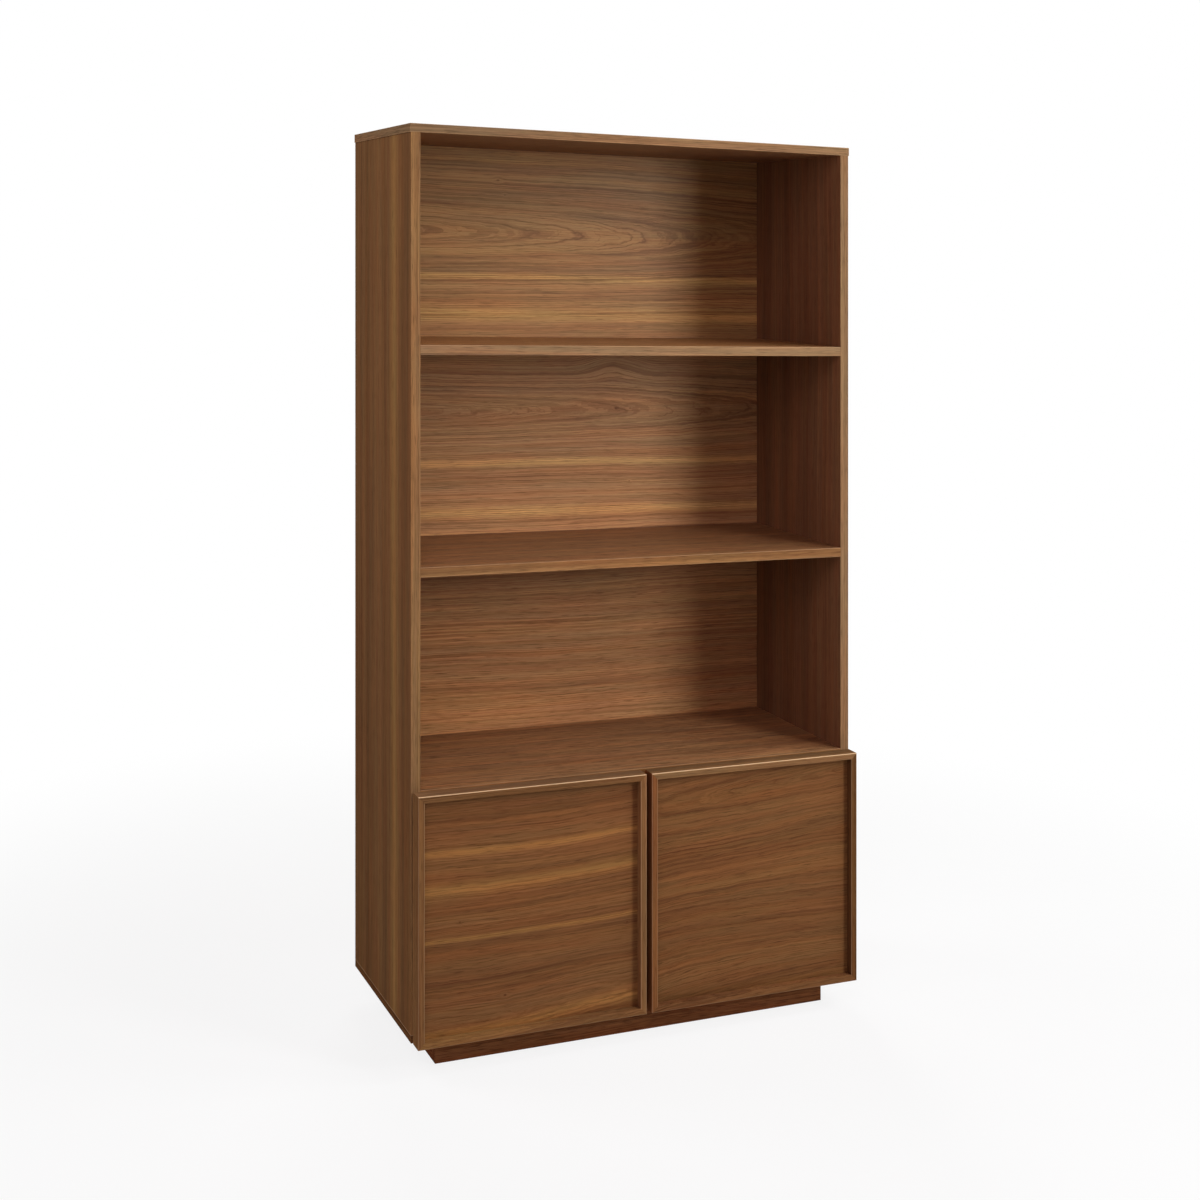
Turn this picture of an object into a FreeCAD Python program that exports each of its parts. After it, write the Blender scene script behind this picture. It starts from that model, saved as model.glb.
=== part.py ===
import FreeCAD, Part
import math
import os
from FreeCAD import Placement, Rotation, Vector

"""Bookcase with three open bays over a two-door cabinet.

Millimetres. The origin is on the floor under the middle of the overall box; +X is to the right
of someone who faces the doors, +Y to the back, +Z up. Each sub-part is one STEP file in parts/.
"""

# ---- carcass ----
carcass_width = 914.0  # over the two side panels
carcass_depth = 371.0  # front edge bands to back edges
side_thickness = 18.0
top_thickness = 16.0
top_overhang = 1.5  # past each side panel
bottom_thickness = 15.0
shelf_thickness = 18.0
open_bay_height = 384.0  # clear height of each open bay
cabinet_bay_height = 421.0  # clear height behind the doors
edge_band_thickness = 1.0
edge_radius = 0.6

# ---- back panels, which stand in grooves ----
back_panel_thickness = 6.0
back_recess_depth = 15.0  # behind the back panels
groove_depth = 6.0
groove_play = 0.2  # groove width over panel thickness
groove_end_play = 0.5  # between a panel's edge and the bottom of its groove

# ---- plinth ----
plinth_height = 53.0
plinth_side_inset = 52.0
plinth_front_inset = 20.0
plinth_back_inset = 20.0
rail_thickness = 18.0
corner_block_size = 36.0
block_drop = 6.0  # block's lower face above the rails' lower edges
glide_proud = 1.0  # glides stand out of the rails' lower edges
glide_thickness = 3.0
glide_radius = 6.0
glide_nail_radius = 1.25
glide_nail_length = 14.0

# ---- doors ----
door_gap = 4.0  # carcass front to door back
door_side_inset = 2.5  # door edge in from the side panel's outer face
door_reveal = 1.0  # door end to the carcass board's outer face
door_meeting_gap = 11.0
door_thickness = 32.0
door_panel_thickness = 16.0
bar_width = 12.0
bar_lip = 7.0  # width of a bar behind its rabbet
bar_outer_radius = 1.2
bar_inner_radius = 0.8

# ---- hinges: each door turns on one pin line that lies inside the door ----
pin_inset = 7.0  # pin line to the door's hinge edge
pin_depth = 6.0  # pin line to the door's back face
pin_radius = 1.25
pin_clearance = 0.05
hinge_end_distance = 80.0  # cup centre to the door's end
cup_radius = 17.5
cup_wall = 1.0
cup_depth = 11.5
cup_edge_distance = 3.0
flange_thickness = 1.2
flange_margin = 2.0
ear_radius = 5.0
ear_offset = 9.5  # screw line behind the cup's centre line
ear_spacing = 45.0
lug_thickness = 2.5
lug_play = 0.3
knuckle_radius = 2.2
neck_width = 7.0
arm_width = 13.0
arm_thickness = 2.2
arm_bend_radius = 1.0
arm_reach = 53.0  # behind the carcass front
plate_thickness = 2.0
plate_length = 42.0
plate_screw_setback = 37.0  # behind the carcass front
plate_screw_spacing = 32.0
plate_arm_screw_gap = 9.0  # from the wing screws' line to the arm's rear screw
arm_adjuster_gap = 14.0  # from the wing screws' line to the arm's front screw

# ---- catches and bumpers ----
catch_length = 44.0
catch_depth = 20.0
catch_height = 13.0
catch_centre = 42.0  # from the middle of the bookcase
catch_lead = 2.4  # housing's front past the carcass front
catch_radius = 1.5
magnet_length = 26.0
magnet_height = 6.0
magnet_proud = 0.3
strike_length = 34.0
strike_height = 10.0
strike_thickness = 1.0
strike_stub_radius = 2.0
strike_stub_length = 8.0
bumper_radius = 4.0
bumper_play = 0.3
bumper_meeting_inset = 12.0  # bumper centre to the door's meeting edge

# ---- inner shelf on pins ----
inner_shelf_height = 201.0  # over the bottom panel
inner_shelf_side_play = 1.0
inner_shelf_front_inset = 22.0
inner_shelf_back_play = 2.0
pin_hole_radius = 2.5
pin_hole_depth = 9.0
pin_hole_pitch = 32.0
pin_holes_each_way = 2  # over and under the one in use
pin_column_inset = 70.0  # from the carcass front and from the back panel
pin_tab_length = 8.0
pin_tab_width = 10.0
pin_tab_thickness = 3.0

# ---- dowels, screws and wall brackets ----
dowel_radius = 4.0
dowel_in_board = 18.0
dowel_in_side = 12.0
dowel_in_end_board = 10.0
dowel_end_distance = 45.0
screw_radius = 2.0
screw_head_radius = 3.6
screw_head_height = 1.8
wood_screw_length = 13.0
block_screw_length = 56.0
catch_screw_length = 24.0
arm_screw_radius = 2.4
arm_screw_head_radius = 4.0
arm_screw_head_height = 1.8
bracket_width = 24.0
bracket_height = 30.0
bracket_thickness = 2.0
bracket_leg = 13.0
bracket_spacing = 600.0
bracket_hole_radius = 2.75
bracket_hole_drop = 20.0  # under the top panel
bracket_screw_spacing = 14.0

# ---- planes and levels that follow from the sizes above ----
overall_depth = carcass_depth + door_gap + door_thickness
door_front = -overall_depth / 2
door_back = door_front + door_thickness
carcass_front = door_back + door_gap
carcass_back = overall_depth / 2
core_front = carcass_front + edge_band_thickness
panel_back = carcass_back - back_recess_depth
panel_front = panel_back - back_panel_thickness

side_outer = carcass_width / 2
side_inner = side_outer - side_thickness
top_outer = side_outer + top_overhang

plinth_top = glide_proud + plinth_height
bottom_top = plinth_top + bottom_thickness
cabinet_board_base = bottom_top + cabinet_bay_height
board_pitch = shelf_thickness + open_bay_height
fixed_boards = {
    "cabinet_board": cabinet_board_base,
    "lower_shelf": cabinet_board_base + board_pitch,
    "upper_shelf": cabinet_board_base + 2 * board_pitch,
}
cabinet_board_top = cabinet_board_base + shelf_thickness
top_base = fixed_boards["upper_shelf"] + board_pitch
top_level = top_base + top_thickness

door_base = plinth_top + door_reveal
door_top = cabinet_board_top - door_reveal
door_outer = side_outer - door_side_inset
door_inner = door_meeting_gap / 2
door_hinge_levels = (door_base + hinge_end_distance, door_top - hinge_end_distance)

pin_x = -(door_outer - pin_inset)
pin_y = door_back - pin_depth
cup_x = -door_outer + cup_edge_distance + cup_radius

UP = Vector(0, 0, 1)
BACK = Vector(0, 1, 0)
RIGHT = Vector(1, 0, 0)


# ---- small helpers ----
def block(x0, x1, y0, y1, z0, z1):
    """Box between two X, two Y and two Z planes."""
    return Part.makeBox(x1 - x0, y1 - y0, z1 - z0, Vector(x0, y0, z0))


def rod(start, direction, radius, length):
    """Round bar that starts at a point and runs along a direction."""
    return Part.makeCylinder(radius, length, start, direction)


def rounded_outline(points, radii):
    """Closed wire through the points, with an arc of the given radius at each corner."""
    edges = []
    count = len(points)
    ends = []
    for i in range(count):
        here, before, after = points[i], points[i - 1], points[(i + 1) % count]
        inward = (before - here).normalize()
        onward = (after - here).normalize()
        half_angle = inward.getAngle(onward) / 2
        reach = radii[i] / math.tan(half_angle)
        middle = (inward + onward).normalize() * (radii[i] / math.sin(half_angle) - radii[i])
        ends.append((here + inward * reach, here + middle, here + onward * reach))
    for i in range(count):
        start, middle, end = ends[i]
        if radii[i] > 0:
            edges.append(Part.Arc(start, middle, end).toShape())
        edges.append(Part.LineSegment(end, ends[(i + 1) % count][0]).toShape())
    return Part.Wire(edges)


def prism(points, radii, travel):
    """Solid swept from a flat outline with rounded corners along a straight travel."""
    return Part.Face(rounded_outline(points, radii)).extrude(travel)


def mirrored(solids):
    """The same solids for the other side of the bookcase."""
    return [s.mirror(Vector(0, 0, 0), RIGHT) for s in solids]


def bored(board, cutters):
    """A board with the cutters that reach into it taken away."""
    near = [c for c in cutters if board.BoundBox.intersect(c.BoundBox)]
    return board.cut(Part.makeCompound(near)) if near else board


def export(node, solids):
    """Write one sub-part's solids to its STEP file."""
    shape = solids[0] if len(solids) == 1 else Part.makeCompound(solids)
    shape.exportStep(f"parts/{node}.step")


# ---- fasteners ----
class Screw:
    """Screw whose head's outer face is centred on head and whose shank runs along direction."""

    radius = screw_radius
    head_radius = screw_head_radius
    head_height = screw_head_height

    def __init__(self, head, direction, length):
        self.head = head
        self.direction = direction
        self.length = length

    def head_solid(self):
        """Countersunk head."""
        return Part.makeCone(self.head_radius, self.radius, self.head_height, self.head, self.direction)

    def blank(self):
        """The screw with no slots, which is also the cutter for its hole."""
        shank_length = self.length - self.radius
        shank = rod(self.head, self.direction, self.radius, shank_length)
        point = Part.makeCone(self.radius, self.radius / 4, self.radius,
                              self.head + self.direction * shank_length, self.direction)
        return self.head_solid().fuse([shank, point]).removeSplitter()

    def solid(self):
        """The screw with a cross slot in its head."""
        width, depth = self.radius / 2, self.head_height / 2
        across = Part.makeBox(2 * self.radius, width, depth, Vector(-self.radius, -width / 2, 0))
        along = Part.makeBox(width, 2 * self.radius, depth, Vector(-width / 2, -self.radius, 0))
        cross = across.fuse(along)
        cross.Placement = Placement(self.head, Rotation(UP, self.direction))
        return self.blank().cut(cross)


class ArmScrew(Screw):
    """Machine screw with a flat round head, for a hinge arm."""

    radius = arm_screw_radius
    head_radius = arm_screw_head_radius
    head_height = arm_screw_head_height

    def head_solid(self):
        return rod(self.head, self.direction, self.head_radius, self.head_height)


def blanks(screws):
    """Cutters for the holes of some screws."""
    return [s.blank() for s in screws]


def finished(screws):
    """The solids of some screws."""
    return [s.solid() for s in screws]


def dowels():
    """Dowels between the side panels and the boards that they hold, or that close their ends."""
    spots = (carcass_front + dowel_end_distance, (carcass_front + panel_front) / 2,
             panel_front - dowel_end_distance)
    pegs = []
    for y in spots:
        for base in fixed_boards.values():
            start = Vector(-side_inner - dowel_in_side, y, base + shelf_thickness / 2)
            pegs.append(rod(start, RIGHT, dowel_radius, dowel_in_side + dowel_in_board))
        middle_x = -(side_outer + side_inner) / 2
        upright = dowel_in_end_board + dowel_in_board
        pegs.append(rod(Vector(middle_x, y, top_base - dowel_in_board), UP, dowel_radius, upright))
        pegs.append(rod(Vector(middle_x, y, bottom_top - dowel_in_end_board), UP, dowel_radius, upright))
    return pegs + mirrored(pegs)


# ---- carcass ----
def banding(x0, x1, z0, z1):
    """Front edge band over a board's front edge, with its two long front edges rounded."""
    y0, y1 = carcass_front, core_front
    round_by = min(edge_radius, edge_band_thickness * 0.8)
    if x1 - x0 > z1 - z0:
        corners = [Vector(x0, y0, z0), Vector(x0, y1, z0), Vector(x0, y1, z1), Vector(x0, y0, z1)]
        travel = Vector(x1 - x0, 0, 0)
    else:
        corners = [Vector(x0, y0, z0), Vector(x0, y1, z0), Vector(x1, y1, z0), Vector(x1, y0, z0)]
        travel = Vector(0, 0, z1 - z0)
    return prism(corners, (round_by, 0, 0, round_by), travel)


def end_banding(x_core, x_outer, z0, z1):
    """Band along a board's end, from the front band's back to the carcass back, rounded outside."""
    round_by = min(edge_radius, edge_band_thickness * 0.8)
    corners = [Vector(x_core, core_front, z0), Vector(x_outer, core_front, z0),
               Vector(x_outer, core_front, z1), Vector(x_core, core_front, z1)]
    return prism(corners, (0, round_by, round_by, 0), Vector(0, carcass_back - core_front, 0))


def back_groove(x0, x1, z0, z1):
    """Cutter for the groove that a back panel stands in."""
    play = groove_play / 2
    return block(x0, x1, panel_front - play, panel_back + play, z0, z1)


def side_panel(cutters):
    """Left side panel with its groove, pin holes and bores."""
    panel = block(-side_outer, -side_inner, core_front, carcass_back, bottom_top, top_base)
    groove = back_groove(-side_inner - groove_depth, -side_inner, bottom_top, top_base)
    return bored(panel.cut(groove), cutters)


def fixed_board(base, cutters):
    """Board between the side panels, grooved above and below for the back panels."""
    board = block(-side_inner, side_inner, core_front, carcass_back, base, base + shelf_thickness)
    top = base + shelf_thickness
    grooves = [back_groove(-side_inner, side_inner, base, base + groove_depth),
               back_groove(-side_inner, side_inner, top - groove_depth, top)]
    return bored(board.cut(grooves), cutters)


def end_board(x_outer, z0, z1, groove_z0, cutters):
    """Board over or under the side panels, with one groove for the back panel."""
    core = x_outer - edge_band_thickness
    board = block(-core, core, core_front, carcass_back, z0, z1)
    reach = side_inner + groove_depth
    groove = back_groove(-reach, reach, groove_z0, groove_z0 + groove_depth)
    return bored(board.cut(groove), cutters)


def end_board_bands(x_outer, z0, z1):
    """Front and end bands of a board whose ends show."""
    core = x_outer - edge_band_thickness
    ends = [end_banding(-core, -x_outer, z0, z1)]
    return [banding(-x_outer, x_outer, z0, z1)] + ends + mirrored(ends)


def back_panel(z0, z1):
    """Panel that stands on the bottom of its lower groove and reaches into the other three."""
    x = side_inner + groove_depth - groove_end_play
    return block(-x, x, panel_front, panel_back, z0 - groove_depth, z1 + groove_depth - groove_end_play)


def inner_shelf_base():
    """Level of the adjustable shelf's lower face."""
    return bottom_top + inner_shelf_height


def inner_shelf():
    """Adjustable shelf and its front band, clear of the sides, the doors and the back."""
    x = side_inner - inner_shelf_side_play
    y0 = carcass_front + inner_shelf_front_inset
    y1 = panel_front - inner_shelf_back_play
    base = inner_shelf_base()
    board = block(-x, x, y0 + edge_band_thickness, y1, base, base + shelf_thickness)
    band = banding(-x, x, base, base + shelf_thickness)
    band.translate(Vector(0, inner_shelf_front_inset, 0))
    return board, band


def pin_columns():
    """Y of the front and the back column of shelf pin holes."""
    return carcass_front + pin_column_inset, panel_front - pin_column_inset


def pin_hole_level():
    """Z of the pin holes in use, whose pins carry the inner shelf."""
    return inner_shelf_base() - pin_hole_radius


def pin_holes():
    """Cutters for the left side panel's shelf pin holes."""
    start_x = -side_inner - pin_hole_depth
    holes = []
    for y in pin_columns():
        for step in range(-pin_holes_each_way, pin_holes_each_way + 1):
            level = pin_hole_level() + step * pin_hole_pitch
            holes.append(rod(Vector(start_x, y, level), RIGHT, pin_hole_radius, pin_hole_depth))
    return holes


def shelf_pins():
    """Pins of the left side: a round shank and a flat tab, whose top carries the shelf."""
    pins = []
    level = pin_hole_level()
    for y in pin_columns():
        shank = rod(Vector(-side_inner - pin_hole_depth, y, level), RIGHT, pin_hole_radius, pin_hole_depth)
        tab = block(-side_inner, -side_inner + pin_tab_length, y - pin_tab_width / 2, y + pin_tab_width / 2,
                    level + pin_hole_radius - pin_tab_thickness, level + pin_hole_radius)
        pins.append(shank.fuse(tab))
    return pins + mirrored(pins)


# ---- plinth ----
def plinth_corners():
    """Half width of the plinth and its front and back planes."""
    return (side_outer - plinth_side_inset, carcass_front + plinth_front_inset,
            carcass_back - plinth_back_inset)


def plinth_rails():
    """Front, back, left, right and centre rail."""
    x, front, back = plinth_corners()
    z0, z1 = glide_proud, plinth_top
    y0, y1 = front + rail_thickness, back - rail_thickness
    return {
        "plinth_front_rail": block(-x, x, front, y0, z0, z1),
        "plinth_back_rail": block(-x, x, y1, back, z0, z1),
        "plinth_left_rail": block(-x, -x + rail_thickness, y0, y1, z0, z1),
        "plinth_right_rail": block(x - rail_thickness, x, y0, y1, z0, z1),
        "plinth_centre_rail": block(-rail_thickness / 2, rail_thickness / 2, y0, y1, z0, z1),
    }


def corner_block_spots():
    """Outer corner and inward directions of each corner block."""
    x, front, back = plinth_corners()
    inner_x = x - rail_thickness
    return [(sx * inner_x, y, -sx, sy)
            for sx in (-1, 1) for y, sy in ((front + rail_thickness, 1), (back - rail_thickness, -1))]


def corner_blocks():
    """Triangular glue blocks in the plinth's corners."""
    z0 = glide_proud + block_drop
    blocks = []
    for x, y, towards_x, towards_y in corner_block_spots():
        corners = [Vector(x, y, z0), Vector(x + towards_x * corner_block_size, y, z0),
                   Vector(x, y + towards_y * corner_block_size, z0)]
        outline = Part.makePolygon(corners + [corners[0]])
        blocks.append(Part.Face(outline).extrude(Vector(0, 0, plinth_top - z0)))
    return blocks


def block_screws():
    """One long screw up through each corner block into the bottom panel."""
    z = glide_proud + block_drop
    reach = corner_block_size / 3
    return [Screw(Vector(x + towards_x * reach, y + towards_y * reach, z), UP, block_screw_length)
            for x, y, towards_x, towards_y in corner_block_spots()]


def glides():
    """Nail-on glides, let into the plinth's corners and into the middle of its front and back."""
    x, front, back = plinth_corners()
    half = rail_thickness / 2
    feet = []
    for gx in (-x + half, 0, x - half):
        for gy in (front + half, back - half):
            disc = rod(Vector(gx, gy, 0), UP, glide_radius, glide_thickness)
            feet.append(disc.fuse(rod(Vector(gx, gy, 0), UP, glide_nail_radius, glide_nail_length)))
    return feet


# ---- doors ----
def door_bar(half_length, half_height, turn):
    """Frame bar of a door centred on the origin: an L section, mitred at both ends.

    The bar is drawn as the top one, half_height above the centre, and turned about +Y.
    """
    top, inside, lip = half_height, half_height - bar_width, half_height - bar_lip
    front, back = door_front, door_back
    step = back - door_panel_thickness
    section = [Vector(-half_length, front, top), Vector(-half_length, front, inside),
               Vector(-half_length, step, inside), Vector(-half_length, step, lip),
               Vector(-half_length, back, lip), Vector(-half_length, back, top)]
    radii = (bar_outer_radius, bar_inner_radius, 0, 0, 0, bar_inner_radius)
    bar = prism(section, radii, Vector(2 * half_length, 0, 0))
    mitre = [Vector(-half_length, front, top), Vector(half_length, front, top),
             Vector(half_length - bar_width, front, inside), Vector(-half_length + bar_width, front, inside)]
    mitre_face = Part.Face(Part.makePolygon(mitre + [mitre[0]]))
    bar = bar.common(mitre_face.extrude(Vector(0, back - front, 0)))
    bar.rotate(Vector(0, 0, 0), BACK, turn)
    return bar


def door_frame():
    """Left door's four bars, in place."""
    half_width = (door_outer - door_inner) / 2
    half_height = (door_top - door_base) / 2
    centre = Vector(-(door_outer + door_inner) / 2, 0, (door_top + door_base) / 2)
    bars = {
        "top_bar": door_bar(half_width, half_height, 0),
        "meeting_bar": door_bar(half_height, half_width, 90),
        "bottom_bar": door_bar(half_width, half_height, 180),
        "hinge_bar": door_bar(half_height, half_width, 270),
    }
    for bar in bars.values():
        bar.translate(centre)
    return bars


def door_panel():
    """Left door's panel, which sits in the bars' rabbets."""
    return block(-door_outer + bar_lip, -door_inner - bar_lip, door_back - door_panel_thickness, door_back,
                 door_base + bar_lip, door_top - bar_lip)


# ---- hinges of the left door, one set at each level ----
def ear_places(level):
    """Screw centres of a cup's two ears, on the door's back face."""
    x = cup_x + ear_offset
    return [Vector(x, door_back, level + side * ear_spacing / 2) for side in (-1, 1)]


def cup_bore(level):
    """Cutter for a cup's bore in the door."""
    return rod(Vector(cup_x, door_back, level), -BACK, cup_radius, cup_depth)


def hinge_pin(level):
    """Pin through a cup's lugs and the arm's knuckle."""
    half = neck_width / 2 + lug_play + lug_thickness
    return rod(Vector(pin_x, pin_y, level - half), UP, pin_radius, 2 * half)


def hinge_cup(level):
    """Pressed cup with a screw flange, and two lugs that hold the pin."""
    mouth = Vector(cup_x, door_back + flange_thickness, level)
    bore = cup_bore(level)
    hollow = rod(mouth, -BACK, cup_radius - cup_wall, cup_depth + flange_thickness - cup_wall)
    disc = rod(mouth, -BACK, cup_radius + flange_margin, flange_thickness)
    ears = [rod(place, BACK, ear_radius, flange_thickness) for place in ear_places(level)]
    bridge = block(cup_x + ear_offset - ear_radius, cup_x + ear_offset + ear_radius, door_back,
                   door_back + flange_thickness, level - ear_spacing / 2, level + ear_spacing / 2)
    cup = bore.fuse([disc, bridge] + ears).cut(hollow)
    cup_floor = door_back - cup_depth
    inside = neck_width / 2 + lug_play
    for z0 in (level - inside - lug_thickness, level + inside):
        lug = block(pin_x - knuckle_radius, pin_x + knuckle_radius, cup_floor, pin_y + knuckle_radius,
                    z0, z0 + lug_thickness)
        cup = cup.fuse(lug.common(bore))
    return cup.removeSplitter()


def arm_planes():
    """X of the arm's two faces, on the mounting plate's face and beyond it."""
    inner = -side_inner + plate_thickness
    return inner, inner + arm_thickness


def hinge_arm(level):
    """Bent arm: a knuckle on the pin, a neck out of the cup, and a flat along the plate."""
    x0, x1 = arm_planes()
    low = pin_y - knuckle_radius
    rear = carcass_front + arm_reach
    outline = [Vector(pin_x, low, 0), Vector(x1, low, 0), Vector(x1, rear, 0), Vector(x0, rear, 0),
               Vector(x0, low + arm_thickness, 0), Vector(pin_x, low + arm_thickness, 0)]
    radii = (0, arm_thickness, 0, 0, arm_bend_radius, 0)
    neck = prism(outline, radii, Vector(0, 0, neck_width))
    neck.translate(Vector(0, 0, level - neck_width / 2))
    start = carcass_front + (arm_reach - plate_length) / 2
    flat = block(x0, x1, start, rear, level - arm_width / 2, level + arm_width / 2)
    knuckle = rod(Vector(pin_x, pin_y, level - neck_width / 2), UP, knuckle_radius, neck_width)
    hole = rod(Vector(pin_x, pin_y, level - neck_width), UP, pin_radius + pin_clearance, 2 * neck_width)
    return neck.fuse([flat, knuckle]).cut(hole).removeSplitter()


def plate_screw_y():
    """Y of the mounting plate's two wing screws."""
    return carcass_front + plate_screw_setback


def hinge_plate(level):
    """Cross-shaped mounting plate on the side panel's inner face."""
    x0, x1 = -side_inner, -side_inner + plate_thickness
    rear = carcass_front + arm_reach
    y = plate_screw_y()
    body = block(x0, x1, rear - plate_length, rear, level - arm_width / 2, level + arm_width / 2)
    half = plate_screw_spacing / 2
    wing = block(x0, x1, y - arm_width / 2, y + arm_width / 2, level - half, level + half)
    tips = [rod(Vector(x0, y, level + side * half), RIGHT, arm_width / 2, plate_thickness) for side in (-1, 1)]
    return body.fuse([wing] + tips).removeSplitter()


def plate_screws(level):
    """Two wood screws through a plate's wings."""
    x = -side_inner + plate_thickness
    half = plate_screw_spacing / 2
    return [Screw(Vector(x, plate_screw_y(), level + side * half), -RIGHT, wood_screw_length)
            for side in (-1, 1)]


def arm_screws(level):
    """Adjusting and fixing screw of an arm, which end in the mounting plate."""
    x = arm_planes()[1] + arm_screw_head_height
    length = arm_screw_head_height + arm_thickness + plate_thickness
    return [ArmScrew(Vector(x, y, level), -RIGHT, length)
            for y in (plate_screw_y() - arm_adjuster_gap, plate_screw_y() + plate_arm_screw_gap)]


def cup_screws(level):
    """Two wood screws through a cup's ears into the door panel."""
    return [Screw(place + BACK * flange_thickness, -BACK, wood_screw_length) for place in ear_places(level)]


# ---- catches, strikes and bumpers of the left door ----
def catch_block(length, depth, height, lead, level):
    """Block under the cabinet board that stands out of the carcass front by lead."""
    y0 = carcass_front - lead
    x0, x1 = -catch_centre - length / 2, -catch_centre + length / 2
    corners = [Vector(x0, y0, level), Vector(x1, y0, level), Vector(x1, y0 + depth, level),
               Vector(x0, y0 + depth, level)]
    return prism(corners, (catch_radius,) * 4, Vector(0, 0, height))


def catch_magnet():
    """Magnet in the housing's front, proud of it by a little."""
    level = cabinet_board_base - (catch_height + magnet_height) / 2
    x0, x1 = -catch_centre - magnet_length / 2, -catch_centre + magnet_length / 2
    y0 = carcass_front - catch_lead - magnet_proud
    return block(x0, x1, y0, y0 + magnet_proud + catch_depth / 2, level, level + magnet_height)


def catch_screws():
    """Two screws up through the housing into the cabinet board."""
    inset = (catch_length + magnet_length) / 4
    y = carcass_front - catch_lead + catch_depth / 2
    z = cabinet_board_base - catch_height
    return [Screw(Vector(-catch_centre + side * inset, y, z), UP, catch_screw_length) for side in (-1, 1)]


def strike_plate():
    """Steel plate on the door's back, opposite the magnet, with a stub pressed into the panel."""
    level = cabinet_board_base - catch_height / 2
    x0, x1 = -catch_centre - strike_length / 2, -catch_centre + strike_length / 2
    plate = block(x0, x1, door_back, door_back + strike_thickness, level - strike_height / 2,
                  level + strike_height / 2)
    stub = rod(Vector(-catch_centre, door_back + strike_thickness / 2, level), -BACK, strike_stub_radius,
               strike_stub_length)
    return plate.fuse(stub).removeSplitter()


def door_bumpers():
    """Soft buttons on the door's back that meet the front edges of the boards."""
    x = -door_inner - bumper_meeting_inset
    levels = (plinth_top + bottom_thickness / 2, cabinet_board_base + shelf_thickness / 2)
    return [rod(Vector(x, door_back, z), BACK, bumper_radius, door_gap - bumper_play) for z in levels]


# ---- wall brackets ----
def wall_brackets():
    """Two angle brackets under the top panel, in the recess behind the upper back panel."""
    brackets = []
    for x in (-bracket_spacing / 2, bracket_spacing / 2):
        x0, x1 = x - bracket_width / 2, x + bracket_width / 2
        upright = block(x0, x1, carcass_back - bracket_thickness, carcass_back, top_base - bracket_height, top_base)
        leg = block(x0, x1, carcass_back - bracket_leg, carcass_back, top_base - bracket_thickness, top_base)
        hole = rod(Vector(x, carcass_back - bracket_leg, top_base - bracket_hole_drop), BACK,
                   bracket_hole_radius, 2 * bracket_leg)
        brackets.append(upright.fuse(leg).cut(hole).removeSplitter())
    return brackets


def bracket_screws():
    """Two screws up through each bracket into the top panel."""
    y = carcass_back - bracket_leg / 2
    z = top_base - bracket_thickness
    return [Screw(Vector(side * bracket_spacing / 2 + half * bracket_screw_spacing, y, z), UP, wood_screw_length)
            for side in (-1, 1) for half in (-0.5, 0.5)]


def both_levels(make):
    """What a hinge function makes at both hinge levels, as one list."""
    made = [make(level) for level in door_hinge_levels]
    return [solid for item in made for solid in (item if isinstance(item, list) else [item])]


def build_carcass(nodes):
    """Side panels, boards, bands, back panels and what is fastened to them."""
    pegs = dowels()
    fixings = bracket_screws()
    side_cutters = pegs + blanks(both_levels(plate_screws)) + pin_holes()
    left_side = side_panel(side_cutters)
    nodes["left_side_panel"] = [left_side]
    nodes["right_side_panel"] = mirrored([left_side])
    left_band = banding(-side_outer, -side_inner, bottom_top, top_base)
    nodes["left_side_edge_band"] = [left_band]
    nodes["right_side_edge_band"] = mirrored([left_band])
    nodes["top_panel"] = [end_board(top_outer, top_base, top_level, top_base, pegs + blanks(fixings))]
    nodes["top_edge_band"] = end_board_bands(top_outer, top_base, top_level)
    nodes["bottom_panel"] = [end_board(side_outer, plinth_top, bottom_top, bottom_top - groove_depth,
                                       pegs + blanks(block_screws()))]
    nodes["bottom_edge_band"] = end_board_bands(side_outer, plinth_top, bottom_top)
    catch_holes = blanks(catch_screws())
    board_cutters = pegs + catch_holes + mirrored(catch_holes)
    for name, base in fixed_boards.items():
        nodes[name] = [fixed_board(base, board_cutters)]
        nodes[f"{name}_edge_band"] = [banding(-side_inner, side_inner, base, base + shelf_thickness)]
    nodes["inner_shelf"], nodes["inner_shelf_edge_band"] = [[solid] for solid in inner_shelf()]
    nodes["cabinet_back_panel"] = [back_panel(bottom_top, cabinet_board_base)]
    for name, base in zip(("lower", "middle", "upper"), fixed_boards.values()):
        floor = base + shelf_thickness
        nodes[f"{name}_back_panel"] = [back_panel(floor, floor + open_bay_height)]
    nodes["dowels"] = pegs
    nodes["shelf_pins"] = shelf_pins()
    nodes["wall_brackets"] = [bored(b, blanks(fixings)) for b in wall_brackets()]
    nodes["bracket_screws"] = finished(fixings)


def build_plinth(nodes):
    """Rails, corner blocks, their screws and the glides."""
    feet = glides()
    for name, rail in plinth_rails().items():
        nodes[name] = [bored(rail, feet)]
    screws = block_screws()
    nodes["plinth_corner_blocks"] = [bored(b, blanks(screws)) for b in corner_blocks()]
    nodes["block_screws"] = finished(screws)
    nodes["glides"] = feet


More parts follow.
